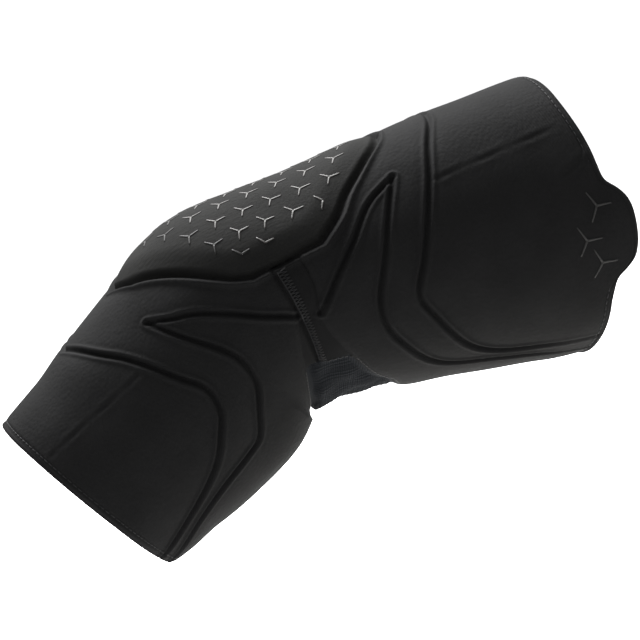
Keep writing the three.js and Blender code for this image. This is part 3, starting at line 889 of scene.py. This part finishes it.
def tab_mesh():
    """The tab: cloth that leaves the sleeve's skin near the rim and flares into a rounded tongue."""
    around = np.linspace(TAB_START, TAB_END, TAB_COLUMNS)
    reach = edge_at(TAB_CURVE, around)
    ways = np.linspace(0, 1, TAB_ROWS)
    X = TAB_ROOT + (reach[None] - TAB_ROOT) * (1 - (1 - ways[:, None]) ** 1.3)
    Vt = np.broadcast_to(around, X.shape)
    beside = np.minimum(around - TAB_START, TAB_END - around)[None] * MM_PER_DEGREE
    edge = reach[None] - X
    # the plain level of the skin, ignoring how the rim is rolled under
    level = skin_at(np.minimum(X, UPPER_LENGTH - 9), Vt)
    level = level * (1 - 0.5 * smooth(X, 150, 166))
    show = smooth(X, 141, 150) * smooth(beside + np.maximum(X - 147, 0), 1, 9)
    top = level - 1.3 + 1.6 * show - 1.5 * bump(edge, 0.9) - 0.3 * bump(edge - 2.6, 0.5)
    bottom = np.minimum(top - 0.5, level - 1.2)
    count = X.size
    points = np.vstack([on_sleeve(X, Vt, top).reshape(-1, 3), on_sleeve(X, Vt, bottom).reshape(-1, 3)])
    faces = grid_faces(*X.shape)
    rows, columns = X.shape
    loop = ([(0, j) for j in range(columns)] + [(i, columns - 1) for i in range(1, rows)]
            + [(rows - 1, j) for j in range(columns - 2, -1, -1)] + [(i, 0) for i in range(rows - 2, 0, -1)])
    ids = [i * columns + j for i, j in loop]
    wall = [(a, b, b + count, a + count) for a, b in zip(ids, ids[1:] + ids[:1])]
    every = np.vstack([faces[:, ::-1], faces + count, np.array(wall)])
    uv = np.stack([X, Vt * MM_PER_DEGREE], -1).reshape(-1, 2)
    return new_object("rim_pull_tab", points, every, np.vstack([uv, uv]), SHELL), (X, Vt, top)


tab, tab_grid = tab_mesh()
rides(tab, BODY_UPPER, "tab", "pull_tab")


def tab_place(s, v):
    """place() for a mark on the tab, or on the skin where that lies higher."""
    def place(a, b):
        x, y = s + a, v + b / MM_PER_DEGREE
        k = np.hypot(tab_grid[0] - x, (tab_grid[1] - y) * MM_PER_DEGREE).argmin()
        skin = float(skin_at(np.array([min(x, UPPER_LENGTH)]), np.array([y]))[0])
        return x, y, max(float(tab_grid[2].ravel()[k]), skin) + 0.16
    return place


tab_marks = ([], [])
for s0, v0 in ((146.8, 79), (139.8, 91), (144.8, 101)):
    mark(*tab_marks, tab_place(s0, v0), 3, 6.4)
# the tab's marks get the dimmer ink as painted shade
rides(print_object("tab_marks", *tab_marks, PRINT_INK_SHADED), BODY_UPPER, "tab")

# ------------------------------------------------------------------ stage, light and camera

FLOOR_HALF, FLOOR_LEVEL = 30, -0.3
CORNERS = ((-1, -1), (1, -1), (1, 1), (-1, 1))
floor_corners = [(x * FLOOR_HALF, y * FLOOR_HALF, FLOOR_LEVEL) for x, y in CORNERS]
floor_mesh = bpy.data.meshes.new("floor")
floor_mesh.from_pydata(floor_corners, [], [(0, 1, 2, 3)])
floor = bpy.data.objects.new("floor", floor_mesh)
bpy.context.scene.collection.objects.link(floor)
pale = bpy.data.materials.new("pale_floor")
pale.use_nodes = True
pale_shader = pale.node_tree.nodes["Principled BSDF"]
pale_shader.inputs["Base Color"].default_value = (0.9, 0.9, 0.9, 1)
pale_shader.inputs["Roughness"].default_value = 0.95
floor.data.materials.append(pale)

world = bpy.data.worlds.new("studio")
world.use_nodes = True
world.node_tree.nodes["Background"].inputs["Color"].default_value = (1, 1, 1, 1)
world.node_tree.nodes["Background"].inputs["Strength"].default_value = 1.15
bpy.context.scene.world = world
bpy.context.scene.view_settings.view_transform = "Standard"


def area(name, place, target, size, power, colour=(1, 1, 1)):
    """A rectangular light at place, facing target; size in metres and power in watts."""
    light = bpy.data.lights.new(name, "AREA")
    light.shape = "RECTANGLE"
    light.size, light.size_y = size
    light.energy = power
    light.color = colour
    obj = bpy.data.objects.new(name, light)
    obj.location = place
    obj.rotation_euler = (Vector(target) - Vector(place)).to_track_quat("-Z", "Y").to_euler()
    bpy.context.scene.collection.objects.link(obj)
    return obj


area("overhead", (-0.05, 0.42, 0.72), (0, 0, 0), (0.9, 0.45), 76)
bounce = area("floor_bounce", (0.13, -0.01, -0.27), (0.11, -0.01, 0), (0.3, 0.2), 1.0, (1.0, 0.97, 0.84))
bounce.visible_camera = False

AZIMUTH, ELEVATION, ROLL = (math.radians(angle) for angle in (-12.8, 14, 13.5))
DISTANCE = 0.798
LOOK_AT = Vector((0.0331, 0, -0.0153))
level = math.cos(ELEVATION)
back = Vector((math.sin(AZIMUTH) * level, -math.cos(AZIMUTH) * level, math.sin(ELEVATION)))
right = Vector((0, 0, 1)).cross(back).normalized()
up = back.cross(right)
cam_right = math.cos(ROLL) * right - math.sin(ROLL) * up
cam_up = math.sin(ROLL) * right + math.cos(ROLL) * up
camera_data = bpy.data.cameras.new("camera")
camera_data.lens = 100
camera_data.sensor_width = 36
camera = bpy.data.objects.new("camera", camera_data)
turn = Matrix((cam_right, cam_up, back)).transposed().to_4x4()
camera.matrix_world = Matrix.Translation(LOOK_AT + back * DISTANCE) @ turn
bpy.context.scene.collection.objects.link(camera)
bpy.context.scene.camera = camera
